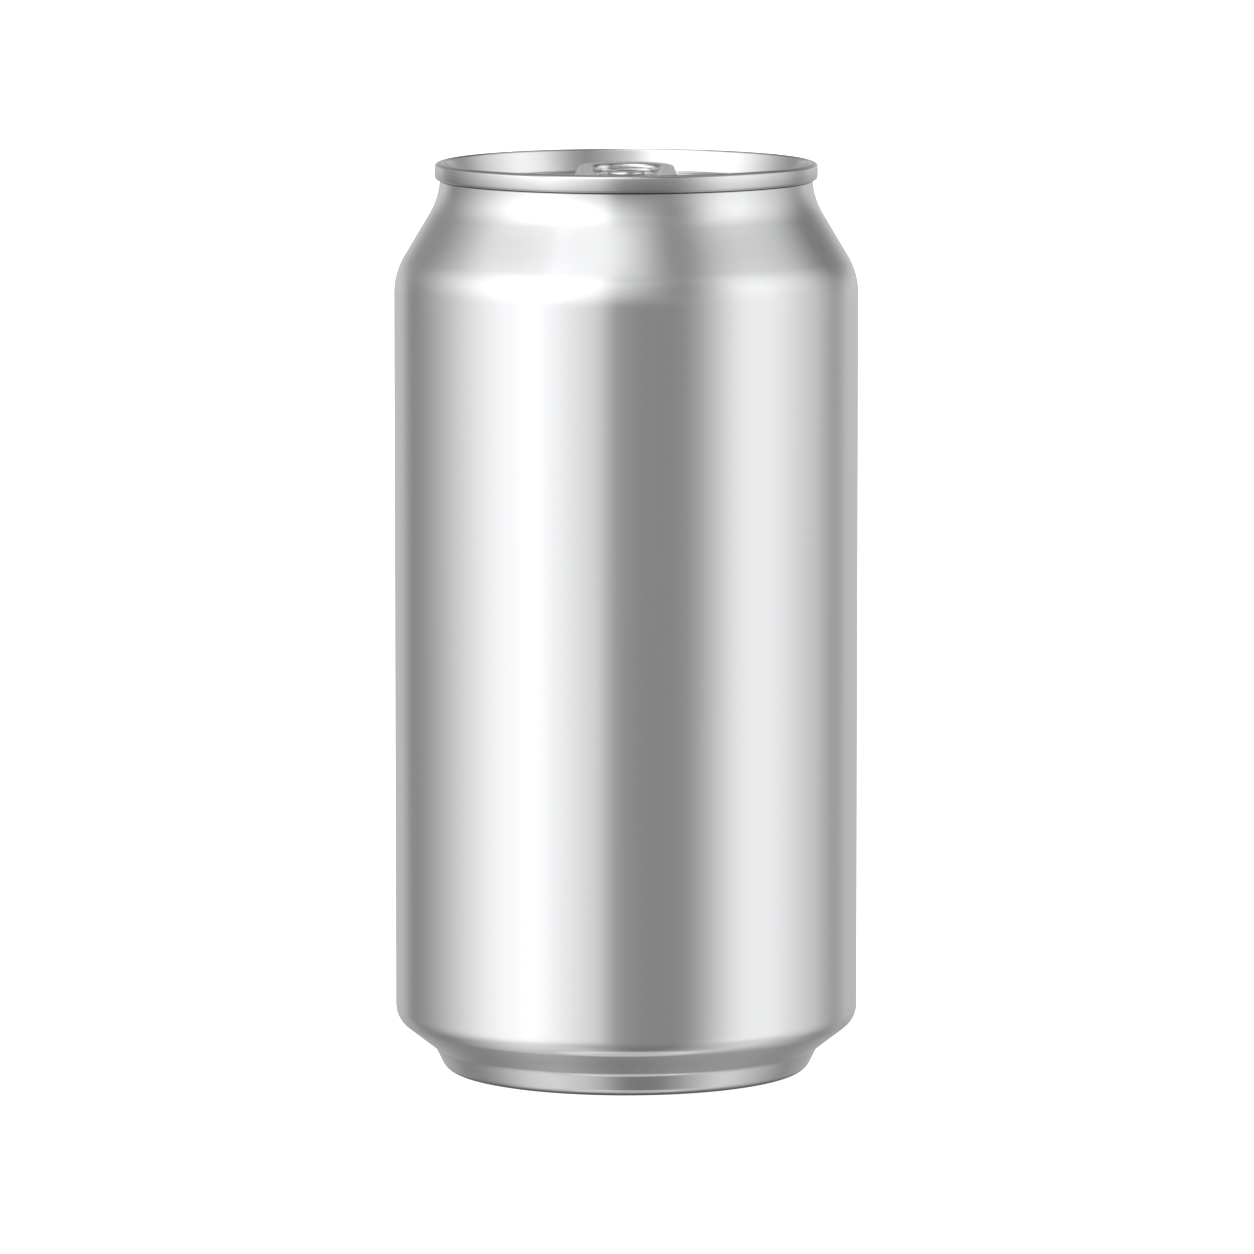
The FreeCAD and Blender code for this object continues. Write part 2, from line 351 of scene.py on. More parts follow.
def heel_flank(body, ring_outer):
    """The length of the heel's straight run, which makes up what the bends leave of the tuck."""
    heel, chime = body.heel_slope, body.chime_slope
    tuck_of_bends = (
        body.heel_bend * (1 - math.cos(heel))
        + body.chime_bend * (math.cos(chime) - math.cos(heel))
        + body.chime_flank * math.sin(chime)
        + body.nose_bend * math.cos(chime)
    )
    return (body.diameter / 2 - ring_outer - tuck_of_bends) / math.sin(heel)


def neck_runs(body):
    """The length of the neck's straight run, and the height from the wall to the seam."""
    slope, top = body.neck_slope, math.radians(NECK_TOP_SLOPE)
    step_of_bends = body.shoulder_bend * (1 - math.cos(slope))
    step_of_bends += body.neck_bend * (math.cos(top) - math.cos(slope))
    flank = (body.diameter / 2 - neck_radius() - step_of_bends) / math.sin(slope)
    rise_of_bends = (body.shoulder_bend + body.neck_bend) * math.sin(slope)
    rise_of_bends -= body.neck_bend * math.sin(top)
    rise_of_bends += throat_bend() * (1 + math.sin(top))
    return flank, rise_of_bends + flank * math.cos(slope)


def draw_wall(stroke, body, ring_outer):
    """The outside, from the stand ring's outer edge up to the seam."""
    neck_flank, neck_rise = neck_runs(body)
    stroke.bend(body.nose_bend, UPWARD - math.degrees(body.chime_slope))
    stroke.line(body.chime_flank)
    stroke.bend(body.chime_bend, UPWARD - math.degrees(body.heel_slope))
    stroke.line(heel_flank(body, ring_outer))
    stroke.bend(body.heel_bend, UPWARD)
    stroke.line_to_height(seam_base() - neck_rise)
    stroke.bend(body.shoulder_bend, UPWARD + math.degrees(body.neck_slope))
    stroke.line(neck_flank)
    stroke.bend(body.neck_bend, UPWARD + NECK_TOP_SLOPE)
    stroke.bend(throat_bend(), OUTWARD)


class CAN_OT_body(bpy.types.Operator):
    """Model the can's drawn body, from its base dome to its neck"""

    bl_idname = "can.body"
    bl_label = "Body"

    def execute(self, context):
        body = context.scene.can_body
        ring_inner = (body.stand_diameter - body.stand_flat) / 2
        ring_outer = (body.stand_diameter + body.stand_flat) / 2
        seat_radius = neck_radius() - NECK_WALL
        mesh = bmesh.new()
        underside = Stroke(mesh, ring_inner, 0, INWARD)
        draw_dome(underside, body)
        outside = Stroke(mesh, ring_inner, 0, OUTWARD)
        outside.line_to_radius(ring_outer)
        draw_wall(outside, body, ring_outer)
        outside.corner_to(seat_radius, seam_base())
        outside.corner_to(seat_radius, end_low.z)
        outside.corner_to(0, end_low.z)
        underside.spin()
        outside.spin()
        finish_piece("drawn_body", mesh, "can_body", wall_metal(context.scene.can_finish))
        return {"FINISHED"}


# ---- the end


SCORE_WIDTH = 20.0 * MM
SCORE_LENGTH = 14.9 * MM
SCORE_BEND = 6.6 * MM
SCORE_REACH = 18.6 * MM
SCORE_GROOVE = 0.3 * MM
SCORE_DEPTH = 0.12 * MM
SCORE_SECTION = (0.5, 1, 1, 0.5, 0)  # shares of the depth across the groove
HINGE_WIDTH = 5.0 * MM
BEAD_INSET = 1.5 * MM
BEAD_WIDTH = 0.9 * MM
BEAD_HEIGHT = 0.22 * MM
BEAD_SECTION = (0.25, 0.75, 1, 1, 0.75, 0.25, 0)  # shares of the height across the bead
BEAD_CLEARANCE = 0.8 * MM
LEVEL_EDGE = 0.1 * MM  # left level beside each pressed line, so that the floor stays flat
WELL_BEND = 30.0 * MM
WELL_DEPTH = 0.55 * MM
WELL_REACH = 12.8 * MM
WELL_EDGE_BEND = 1.5 * MM
WELL_LEVEL_EDGE = 0.2 * MM
FLOOR_LEVEL_EDGE = 0.4 * MM

RIVET_RADIUS = 1.9 * MM
RIVET_SHOULDER_RADIUS = 3.3 * MM
RIVET_ROOT_BEND = 0.2 * MM
RIVET_HEAD_RADIUS = 2.7 * MM
RIVET_HEAD_HEIGHT = 0.4 * MM
RIVET_HEAD_GAP = 0.03 * MM
RIVET_EDGE_BEND = 0.1 * MM
RIVET_HEAD_LEVEL = 0.5 * MM
RIVET_DISH_BEND = 1.2 * MM
RIVET_DISH_SLOPE = 20.0


def floor_height():
    end = bpy.context.scene.can_end
    return end_high.z - end.panel_depth - end.step_depth


def draw_end(mesh, end):
    """The plug, seam, chuck wall, countersink and panel edge, as far as the sunk floor."""
    crown_turn = math.degrees(end.rim_crown_turn)
    chuck_slope = math.degrees(end.chuck_slope)
    step_turn = math.degrees(end.step_turn)
    groove_start = end.countersink_bend * (1 - math.sin(end.chuck_slope)) - end.countersink_depth
    plug_radius = neck_radius() - NECK_WALL - PLUG_CLEARANCE

    stroke = Stroke(mesh, 0, end_low.z, OUTWARD)
    stroke.line_to_radius(plug_radius)
    stroke.corner_to(plug_radius, seam_base())
    stroke.corner_to(seam_foot(end), seam_base())
    stroke.bend(end.seam_edge_bend, UPWARD - math.degrees(end.seam_tuck))
    stroke.bend(seam_bow(end), UPWARD + math.degrees(end.seam_lean))
    stroke.bend(end.rim_outer_bend, INWARD - crown_turn)
    stroke.bend(end.rim_crown_bend, INWARD)
    stroke.bend(end.rim_inner_bend, DOWNWARD - chuck_slope)
    stroke.line_to_height(end_high.z + groove_start)
    stroke.bend(end.countersink_bend, UPWARD)
    stroke.line_to_height(end_high.z - end.panel_depth - end.panel_edge_bend)
    stroke.bend(end.panel_edge_bend, INWARD)
    stroke.line(end.panel_rim_width)
    stroke.bend(end.step_bend, INWARD + step_turn)
    stroke.line_to_height(floor_height() + end.step_bend * (1 - math.cos(end.step_turn)))
    stroke.bend(end.step_bend, INWARD)
    stroke.line(FLOOR_LEVEL_EDGE)
    stroke.spin()


def draw_finger_well(mesh):
    """The bowl under the tab's finger end, rounded where it leaves the floor."""
    edge_slope = math.degrees(math.acos(1 - WELL_DEPTH / (WELL_BEND + WELL_EDGE_BEND)))
    stroke = Stroke(mesh, 0, floor_height() - WELL_DEPTH, OUTWARD, WELL_REACH)
    stroke.bend(WELL_BEND, edge_slope)
    stroke.bend(WELL_EDGE_BEND, OUTWARD)
    stroke.line(WELL_LEVEL_EDGE)
    stroke.spin(SMALL_ROUND_STEPS)


def tab_base():
    """The height of the tab's underside at the rivet, where the tilted nose clears the floor."""
    tab = bpy.context.scene.can_tab
    return floor_height() + TAB_GAP + tab.nose_reach * math.tan(tab.tilt)


def web_heights():
    """The underside and top of the tab's web, which the rivet holds."""
    top = tab_base() + bpy.context.scene.can_tab.thickness - WEB_DROP
    return top - WEB_THICKNESS, top


def draw_rivet(mesh):
    web_base, web_top = web_heights()
    head_base = web_top + RIVET_HEAD_GAP
    root_radius = RIVET_SHOULDER_RADIUS + RIVET_ROOT_BEND
    stroke = Stroke(mesh, root_radius + LEVEL_EDGE, floor_height(), INWARD)
    stroke.line_to_radius(root_radius)
    stroke.bend(RIVET_ROOT_BEND, UPWARD)
    stroke.line_to_height(web_base - RIVET_EDGE_BEND)
    stroke.bend(RIVET_EDGE_BEND, INWARD)
    stroke.line_to_radius(RIVET_RADIUS)
    stroke.corner_to(RIVET_RADIUS, head_base)
    stroke.corner_to(RIVET_HEAD_RADIUS - RIVET_EDGE_BEND, head_base)
    stroke.heading = OUTWARD
    stroke.bend(RIVET_EDGE_BEND, UPWARD)
    stroke.bend(RIVET_HEAD_HEIGHT - RIVET_EDGE_BEND, INWARD)
    stroke.line(RIVET_HEAD_LEVEL)
    stroke.bend(RIVET_DISH_BEND, INWARD + RIVET_DISH_SLOPE)
    stroke.bend(RIVET_DISH_BEND, INWARD)
    stroke.line_to_radius(0)
    stroke.spin(SMALL_ROUND_STEPS)


def rounded_face(mesh, corners, height):
    """A level face through corners (x, y, bend), each rounded to its own bend."""
    others = set(mesh.faces)
    verts = [mesh.verts.new((x, y, height)) for x, y, bend in corners]
    mesh.faces.new(verts)
    places = [vert.co.copy() for vert in verts]
    for i, vert in enumerate(verts):
        back = places[i - 1] - places[i]
        ahead = places[(i + 1) % len(places)] - places[i]
        offset = corners[i][2] / math.tan(back.angle(ahead) / 2)
        round_off(mesh, [vert], "VERTICES", offset, CORNER_STEPS)
    return (set(mesh.faces) - others).pop()


def everywhere(place):
    return True


def draw_in(mesh, face, width, rise=0.0, where=everywhere):
    """Inset a face by a width and set its new rim a rise above the floor, or level elsewhere."""
    bmesh.ops.inset_region(
        mesh, faces=[face], thickness=width, use_boundary=True, use_even_offset=True
    )
    for vert in face.verts:
        vert.co.z = floor_height() + (rise if where(vert.co) else 0.0)


def off_hinge(place):
    """Whether a place on the score is away from the hinge that is left at its left side."""
    middle = SCORE_LENGTH / 2 - SCORE_REACH
    return place.x > -SCORE_WIDTH / 4 or not middle < place.y < middle + HINGE_WIDTH


def ahead_of_nose(place):
    return place.y < -bpy.context.scene.can_tab.nose_reach - BEAD_CLEARANCE


def draw_opening_panel(mesh):
    """The scored opening panel with its stiffening bead, which fades out under the tab."""
    half = SCORE_WIDTH / 2 + LEVEL_EDGE
    front = -SCORE_REACH - LEVEL_EDGE
    back = SCORE_LENGTH - SCORE_REACH + LEVEL_EDGE
    bend = SCORE_BEND + LEVEL_EDGE
    corners = [
        (-half, front, bend),
        (half, front, bend),
        (half, back, bend),
        (-half, back, bend),
    ]
    face = rounded_face(mesh, corners, floor_height())
    draw_in(mesh, face, LEVEL_EDGE)
    for depth in SCORE_SECTION:
        draw_in(mesh, face, SCORE_GROOVE / len(SCORE_SECTION), -depth * SCORE_DEPTH, off_hinge)
    for width in (LEVEL_EDGE, BEAD_INSET - SCORE_GROOVE - 2 * LEVEL_EDGE, LEVEL_EDGE):
        draw_in(mesh, face, width)
    for rise in BEAD_SECTION:
        draw_in(mesh, face, BEAD_WIDTH / len(BEAD_SECTION), rise * BEAD_HEIGHT, ahead_of_nose)
    draw_in(mesh, face, LEVEL_EDGE)


class CAN_OT_end(bpy.types.Operator):
    """Model the end that is seamed onto the body, with its rivet, score and finger well"""

    bl_idname = "can.end"
    bl_label = "End"

    def execute(self, context):
        mesh = bmesh.new()
        draw_end(mesh, context.scene.can_end)
        draw_finger_well(mesh)
        draw_rivet(mesh)
        draw_opening_panel(mesh)
        bmesh.ops.remove_doubles(mesh, verts=mesh.verts[:], dist=MERGE_DISTANCE)
        level = floor_height()
        rims = [
            edge
            for edge in mesh.edges
            if len(edge.link_faces) == 1
            and all(abs(vert.co.z - level) < MERGE_DISTANCE for vert in edge.verts)
        ]
        bmesh.ops.triangle_fill(mesh, use_beauty=True, edges=rims, normal=(0, 0, 1))
        if any(len(edge.link_faces) != 2 for edge in mesh.edges):
            raise RuntimeError("The floor of the end is left open.")
        finish_piece("seamed_end", mesh, "can_lid", end_metal(context.scene.can_finish))
        return {"FINISHED"}


# ---- the tab


TAB_NOSE_BEND = 6.6 * MM
TAB_END_BEND = 6.3 * MM
TAB_END_BOW = 0.4 * MM
TAB_EDGE_BEND = 0.54 * MM
TAB_EDGE_STEPS = 6
TAB_GAP = 0.05 * MM
HOLE_BEND = 3.2 * MM
HOLE_BOW = 0.4 * MM
WEB_RADIUS = 5.4 * MM
WEB_REACH = 5.2 * MM
WEB_BEND = 4.2 * MM
WEB_THICKNESS = 0.4 * MM
WEB_DROP = 0.22 * MM
WEB_EDGE_BEND = 0.08 * MM
WEB_EDGE_STEPS = 2
ISLAND_RADIUS = 3.9 * MM
ISLAND_SLOT = 0.6 * MM
ISLAND_ROOT = 80.0  # degrees of the island's edge that stay joined to the web
SLOT_STEPS = 64  # faces along the slot
SLOT_END_STEPS = 8  # faces round each end of it
RIVET_CLEARANCE = 0.1 * MM


def draw_curled_edge(mesh, tab):
    """The tab's rolled edge all round, tilted so that the finger end stands highest."""
    half, half_end = tab.width / 2, tab.end_width / 2
    half_hole = tab.hole_width / 2
    finger_end = tab.length - tab.nose_reach
    hole_end = finger_end - tab.finger_bar
    outer = rounded_face(
        mesh,
        [
            (-half, -tab.nose_reach, TAB_NOSE_BEND),
            (half, -tab.nose_reach, TAB_NOSE_BEND),
            (half_end, finger_end - TAB_END_BOW, TAB_END_BEND),
            (0, finger_end, tab.end_width),
            (-half_end, finger_end - TAB_END_BOW, TAB_END_BEND),
        ],
        0,
    )
    rims = list(outer.edges)
    bmesh.ops.delete(mesh, geom=[outer], context="FACES_ONLY")
    inner = rounded_face(
        mesh,
        [
            (-half_hole, -WEB_REACH, WEB_BEND),
            (half_hole, -WEB_REACH, WEB_BEND),
            (half_hole, hole_end - HOLE_BOW, HOLE_BEND),
            (0, hole_end, tab.hole_width),
            (-half_hole, hole_end - HOLE_BOW, HOLE_BEND),
        ],
        0,
    )
    rims += list(inner.edges)
    bmesh.ops.delete(mesh, geom=[inner], context="FACES_ONLY")
    bmesh.ops.bridge_loops(mesh, edges=rims)
    bmesh.ops.recalc_face_normals(mesh, faces=mesh.faces[:])
    bmesh.ops.solidify(mesh, geom=mesh.faces[:], thickness=tab.thickness)
    low = min(vert.co.z for vert in mesh.verts)
    bmesh.ops.translate(mesh, verts=mesh.verts[:], vec=(0, 0, -low))
    round_off(mesh, folds(mesh), "EDGES", TAB_EDGE_BEND, TAB_EDGE_STEPS)
    bmesh.ops.rotate(mesh, verts=mesh.verts[:], matrix=Matrix.Rotation(tab.tilt, 3, "X"))
    bmesh.ops.translate(mesh, verts=mesh.verts[:], vec=(0, 0, tab_base()))


def draw_island_slot(mesh, height):
    """Draw the closed edge of the slot round the rivet's island, with round ends."""
    sweep = math.radians(360 - ISLAND_ROOT)
    end_turn = Matrix.Rotation(math.radians(ISLAND_ROOT / 2 - 90), 3, "Z")
    start = end_turn @ Vector((ISLAND_RADIUS, 0, height))
    first_end = end_turn @ Vector((ISLAND_RADIUS + ISLAND_SLOT / 2, 0, height))
    last_end = Matrix.Rotation(sweep, 3, "Z") @ first_end
    middle = Vector((0, 0, height))
    tip = mesh.verts.new(start)
    for centre, turn, steps in (
        (middle, sweep, SLOT_STEPS),
        (last_end, -math.pi, SLOT_END_STEPS),
        (middle, -sweep, SLOT_STEPS),
        (first_end, -math.pi, SLOT_END_STEPS),
    ):
        for _ in range(steps):
            tip = turn_on(mesh, tip, centre, (0, 0, 1), turn / steps)


def draw_web(mesh):
    """The web that fills the tab's nose, pierced by the rivet and slotted round its island."""
    web_base, web_top = web_heights()
    for radius, steps in (
        (WEB_RADIUS, SMALL_ROUND_STEPS),
        (RIVET_RADIUS + RIVET_CLEARANCE, SMALL_ROUND_STEPS // 2),
    ):
        ring = bmesh.ops.create_circle(mesh, segments=steps, radius=radius)["verts"]
        bmesh.ops.translate(mesh, verts=ring, vec=(0, 0, web_base))
    draw_island_slot(mesh, web_base)
    bmesh.ops.remove_doubles(mesh, verts=mesh.verts[:], dist=MERGE_DISTANCE)
    bmesh.ops.triangle_fill(mesh, use_beauty=True, edges=mesh.edges[:], normal=(0, 0, 1))
    grown = bmesh.ops.extrude_face_region(mesh, geom=mesh.faces[:], use_keep_orig=True)["geom"]
    top = [g for g in grown if isinstance(g, bmesh.types.BMVert)]
    bmesh.ops.translate(mesh, verts=top, vec=(0, 0, web_top - web_base))
    round_off(mesh, folds(mesh), "EDGES", WEB_EDGE_BEND, WEB_EDGE_STEPS)


class CAN_OT_tab(bpy.types.Operator):
    """Model the stay-on tab with its rolled edge, finger hole and riveted island"""

    bl_idname = "can.tab"
    bl_label = "Tab"

    def execute(self, context):
        mesh = bmesh.new()
        draw_curled_edge(mesh, context.scene.can_tab)
        web = bmesh.new()
        draw_web(web)
        web_data = bpy.data.meshes.new("web")
        web.to_mesh(web_data)
        web.free()
        mesh.from_mesh(web_data)
        bpy.data.meshes.remove(web_data)
        finish_piece("pull_tab", mesh, "tab", tab_metal(context.scene.can_finish))
        return {"FINISHED"}


# ---- finishes


# How the grain's noise is stretched along x, y and z, and how far it moves the roughness.
IRONING_STRETCH = (900, 900, 12)
IRONING_PLAY = 0.02
SHEET_STRETCH = (1800, 40, 40)
STRIP_STRETCH = (2200, 60, 60)
SHEET_PLAY = 0.03
GRAIN_DETAIL = 3.0
GRAIN_RELIEF = 0.002 * MM
GRAIN_STRENGTH = 0.5
NOISE_RANGE = (0.3, 0.7)  # where most of the noise lies

# Painted shade: the body is darkened in a thin band just under the seam, standing in for the shade
# in the crevice there.
CREASE_SHADE_HEIGHT = 0.25 * MM  # how far down from the seam the body is darkened by painted shade
CREASE_SHADE_FADE = 0.08 * MM
CREASE_SHADE_TINT = (0.12, 0.12, 0.125, 1.0)
# Painted shade: the seam's outer face darkens towards its foot.
SEAM_SHADE_RISE = 1.9 * MM  # how far up the seam's outer face the painted shade fades out
SEAM_SHADE_RADIUS = 26.6 * MM  # only the face outside this is shaded
SEAM_SHADE_TINT = (0.6, 0.6, 0.61, 1.0)


def new_metal(name, tint, roughness):
    material = bpy.data.materials.new(name)
    material.use_nodes = True
    nodes = material.node_tree.nodes
    shader = nodes["Principled BSDF"]
    shader.inputs["Metallic"].default_value = 1.0
    shader.inputs["Base Color"].default_value = tint
    shader.inputs["Roughness"].default_value = roughness
    return material, nodes, material.node_tree.links, shader


def stretched_noise(nodes, links, stretch):
    """Noise in the piece's own space, stretched by a scale for each axis."""
    place = nodes.new("ShaderNodeTexCoord")
    mapping = nodes.new("ShaderNodeMapping")
    mapping.inputs["Scale"].default_value = stretch
    noise = nodes.new("ShaderNodeTexNoise")
    noise.inputs["Scale"].default_value = 1.0
    noise.inputs["Detail"].default_value = GRAIN_DETAIL
    links.new(place.outputs["Object"], mapping.inputs["Vector"])
    links.new(mapping.outputs["Vector"], noise.inputs["Vector"])
    return noise


def spread(nodes, links, noise, low, high):
    """The noise as a value between two limits."""
    limits = nodes.new("ShaderNodeMapRange")
    limits.inputs["From Min"].default_value = NOISE_RANGE[0]
    limits.inputs["From Max"].default_value = NOISE_RANGE[1]
    limits.inputs["To Min"].default_value = low
    limits.inputs["To Max"].default_value = high
    links.new(noise.outputs["Fac"], limits.inputs["Value"])
    return limits.outputs["Result"]


def add_grain(nodes, links, shader, stretch, roughness, play):
    """Streak the metal: its roughness varies by a little play, over a very slight relief."""
    grain = stretched_noise(nodes, links, stretch)
    rough = spread(nodes, links, grain, roughness - play, roughness + play)
    links.new(rough, shader.inputs["Roughness"])
    bump = nodes.new("ShaderNodeBump")
    bump.inputs["Distance"].default_value = GRAIN_RELIEF
    bump.inputs["Strength"].default_value = GRAIN_STRENGTH
    links.new(grain.outputs["Fac"], bump.inputs["Height"])
    links.new(bump.outputs["Normal"], shader.inputs["Normal"])


def share_of_height(nodes, links, start, end):
    """How far a place's height has gone from a start to an end, from 0 to 1."""
    place = nodes.new("ShaderNodeTexCoord")
    split = nodes.new("ShaderNodeSeparateXYZ")
    depth = nodes.new("ShaderNodeMapRange")
    depth.inputs["From Min"].default_value = start
    depth.inputs["From Max"].default_value = end
    links.new(place.outputs["Object"], split.inputs["Vector"])
    links.new(split.outputs["Z"], depth.inputs["Value"])
    return depth.outputs["Result"]


def paint_shade(nodes, links, amount, bright, shade_tint, shader):
    """Paint shade into the metal: colour it from its bright tint to a darker one, by an amount from
    0 to 1.
    """
    tints = nodes.new("ShaderNodeMix")
    tints.data_type = "RGBA"
    tints.inputs["A"].default_value = bright
    tints.inputs["B"].default_value = shade_tint
    links.new(amount, tints.inputs["Factor"])
    links.new(tints.outputs["Result"], shader.inputs["Base Color"])


def paint_seam_shade(nodes, links, tint, shader):
    """Paint shade on the seam's outer face, darker towards its foot."""
    foot_shade = share_of_height(nodes, links, seam_base() + SEAM_SHADE_RISE, seam_base())
    place = nodes.new("ShaderNodeTexCoord")
    plan = nodes.new("ShaderNodeVectorMath")
    plan.operation = "MULTIPLY"
    plan.inputs[1].default_value = (1, 1, 0)
    reach = nodes.new("ShaderNodeVectorMath")
    reach.operation = "LENGTH"
    outside = nodes.new("ShaderNodeMath")
    outside.operation = "GREATER_THAN"
    outside.inputs[1].default_value = SEAM_SHADE_RADIUS
    amount = nodes.new("ShaderNodeMath")
    amount.operation = "MULTIPLY"
    links.new(place.outputs["Object"], plan.inputs[0])
    links.new(plan.outputs["Vector"], reach.inputs[0])
    links.new(reach.outputs["Value"], outside.inputs[0])
    links.new(outside.outputs["Value"], amount.inputs[0])
    links.new(foot_shade, amount.inputs[1])
    paint_shade(nodes, links, amount.outputs["Value"], tint, SEAM_SHADE_TINT, shader)


def wall_metal(finish):
    """Bare aluminium with the upright lines that the wall's ironing leaves, and painted shade in a
    thin band under the seam.
    """
    rough = finish.wall_roughness
    material, nodes, links, shader = new_metal("ironed_aluminium", finish.metal, rough)
    add_grain(nodes, links, shader, IRONING_STRETCH, rough, IRONING_PLAY)
    # Painted shade: a thin dark band just under the seam, where the crevice falls into shade.
    crease = seam_base() - CREASE_SHADE_HEIGHT
    shaded = share_of_height(nodes, links, crease, crease + CREASE_SHADE_FADE)
    paint_shade(nodes, links, shaded, finish.metal, CREASE_SHADE_TINT, shader)
    return material


def end_metal(finish):
    """Bare aluminium sheet with the straight grain of its rolling, and painted shade towards the
    seam's foot.
    """
    rough = finish.end_roughness
    material, nodes, links, shader = new_metal("rolled_sheet", finish.metal, rough)
    add_grain(nodes, links, shader, SHEET_STRETCH, rough, SHEET_PLAY)
    # Painted shade on the seam's outer face, darker towards its foot.
    paint_seam_shade(nodes, links, finish.metal, shader)
    return material


def tab_metal(finish):
    """The tab's brighter strip, with a fine grain along its length."""
    rough = finish.tab_roughness
    material, nodes, links, shader = new_metal("tab_strip", finish.metal, rough)
    add_grain(nodes, links, shader, STRIP_STRETCH, rough, SHEET_PLAY)
    return material


# ---- the studio


# Each soft box hangs round the can at an azimuth from the front, positive to the right, and fades
# over a soft edge at its sides, its foot and its head. All angles are in degrees.
SoftBox = namedtuple("SoftBox", "azimuth half_width edge foot foot_edge head head_edge brightness")
SOFT_BOXES = {
    "key": SoftBox(-62, 26, 95, -50, 56, 120, 20, 0.94),
    "strip": SoftBox(-32, 22, 11, -31, 58, 54, 11, 0.28),
    "key_header": SoftBox(-59, 65, 89, 14, 28, 44, 16, 0.45),
    "fill": SoftBox(70, 25, 42, -43, 44, 55, 40, 0.68),
    "fill_header": SoftBox(87, 34, 60, 16, 25, 40, 26, 0.25),
    "side": SoftBox(109, 12, 35, -39, 24, 60, 30, 0.3),
    "back": SoftBox(176, 42, 22, -17, 50, 5, 17, 0.35),
    "top": SoftBox(-6, 30, 64, 44, 76, 83, 10, 0.94),
    "zenith": SoftBox(-90, 95, 50, 64, 20, 120, 20, 0.6),
    "rear": SoftBox(180, 30, 40, 0, 14, 48, 24, 0.1),
    "canopy": SoftBox(180, 75, 40, 42, 16, 74, 16, 0.22),
    "key_pool": SoftBox(-52, 34, 44, -80, 14, -50, 24, 0.3),
    "fill_pool": SoftBox(80, 30, 60, -77, 12, -45, 24, 0.27),
    "left_heel_pool": SoftBox(-120, 38, 44, -75, 30, -52, 30, 0.42),
    "right_heel_pool": SoftBox(120, 38, 48, -75, 14, -41, 22, 0.22),
}
ROOM = 0.253  # brightness of the room between the soft boxes
CEILING = 0.05  # what the room darkens to overhead
CEILING_EDGE = (6.0, 36.0)
TABLE = 0.19  # brightness of the table, away from the can's foot
TABLE_EDGE = (-22.0, -57.0)
FOOT_GLOW = 0.34  # what the table adds under the can's own edge
FOOT_GLOW_EDGE = (-69.0, -76.0)
SHADE_FADE = (25.2 * MM, 26.4 * MM)  # the radii between which the contact shade clears
SHADE_DROP = 0.1 * MM
SHADE_GLOW = 0.1

FLOOR_ROUGHNESS = 0.9
OVERHEAD_SIZE = 8.0
OVERHEAD_PLACE = (0, 1.0, 3.0)
SENSOR_WIDTH = 36.0
FARTHEST_VIEW = 30.0
AIM_OFFSET = (0.11 * MM, 0, -1.47 * MM)  # from the middle of the can


class Shading:
    """Adds nodes to a node tree by what they work out."""

    def __init__(self, tree):
        self.nodes = tree.nodes
        self.links = tree.links

    def math(self, operation, first, second=0.0):
        node = self.nodes.new("ShaderNodeMath")
        node.operation = operation
        for socket, value in zip(node.inputs, (first, second)):
            self.feed(socket, value)
        return node.outputs["Value"]

    def ramp(self, value, start, end, low, high):
        """Ease from low, where the value is at its start, to high at its end."""
        node = self.nodes.new("ShaderNodeMapRange")
        node.interpolation_type = "SMOOTHSTEP"
        node.inputs["From Min"].default_value = start
        node.inputs["From Max"].default_value = end
        node.inputs["To Min"].default_value = low
        node.inputs["To Max"].default_value = high
        self.feed(node.inputs["Value"], value)
        return node.outputs["Result"]

    def feed(self, socket, value):
        if isinstance(value, bpy.types.NodeSocket):
            self.links.new(value, socket)
        else:
            socket.default_value = value


def light_world():
    """A dark room with tall soft boxes round the can."""
    world = bpy.data.worlds.new("studio")
    bpy.context.scene.world = world
    world.use_nodes = True
    shading = Shading(world.node_tree)
    nodes, links = world.node_tree.nodes, world.node_tree.links
    sight = nodes.new("ShaderNodeTexCoord")
    split = nodes.new("ShaderNodeSeparateXYZ")
    links.new(sight.outputs["Generated"], split.inputs["Vector"])
    along, across, rise = split.outputs
    azimuth = shading.math("ARCTAN2", along, shading.math("MULTIPLY", across, -1.0))
    elevation = shading.math("ARCSINE", rise)
    room = shading.ramp(elevation, *map(math.radians, CEILING_EDGE), ROOM, CEILING)
    table = shading.ramp(elevation, *map(math.radians, TABLE_EDGE), 0.0, TABLE - ROOM)
    foot_glow = shading.ramp(elevation, *map(math.radians, FOOT_GLOW_EDGE), 0.0, FOOT_GLOW)
    total = shading.math("ADD", room, shading.math("ADD", table, foot_glow))
    for box in SOFT_BOXES.values():
        off = shading.math("SUBTRACT", azimuth, math.radians(box.azimuth))
        off = shading.math("ARCCOSINE", shading.math("COSINE", off))
        edge, foot_edge, head_edge = (
            math.radians(width) / 2 for width in (box.edge, box.foot_edge, box.head_edge)
        )
        side, foot, head = map(math.radians, (box.half_width, box.foot, box.head))
        glow = shading.ramp(off, side + edge, side - edge, 0.0, box.brightness)
        lower = shading.ramp(elevation, foot - foot_edge, foot + foot_edge, 0.0, 1.0)
        upper = shading.ramp(elevation, head + head_edge, head - head_edge, 0.0, 1.0)
        window = shading.math("MULTIPLY", lower, upper)
        total = shading.math("ADD", total, shading.math("MULTIPLY", glow, window))
    links.new(total, nodes["Background"].inputs["Strength"])
    nodes["Background"].inputs["Color"].default_value = (1, 1, 1, 1)


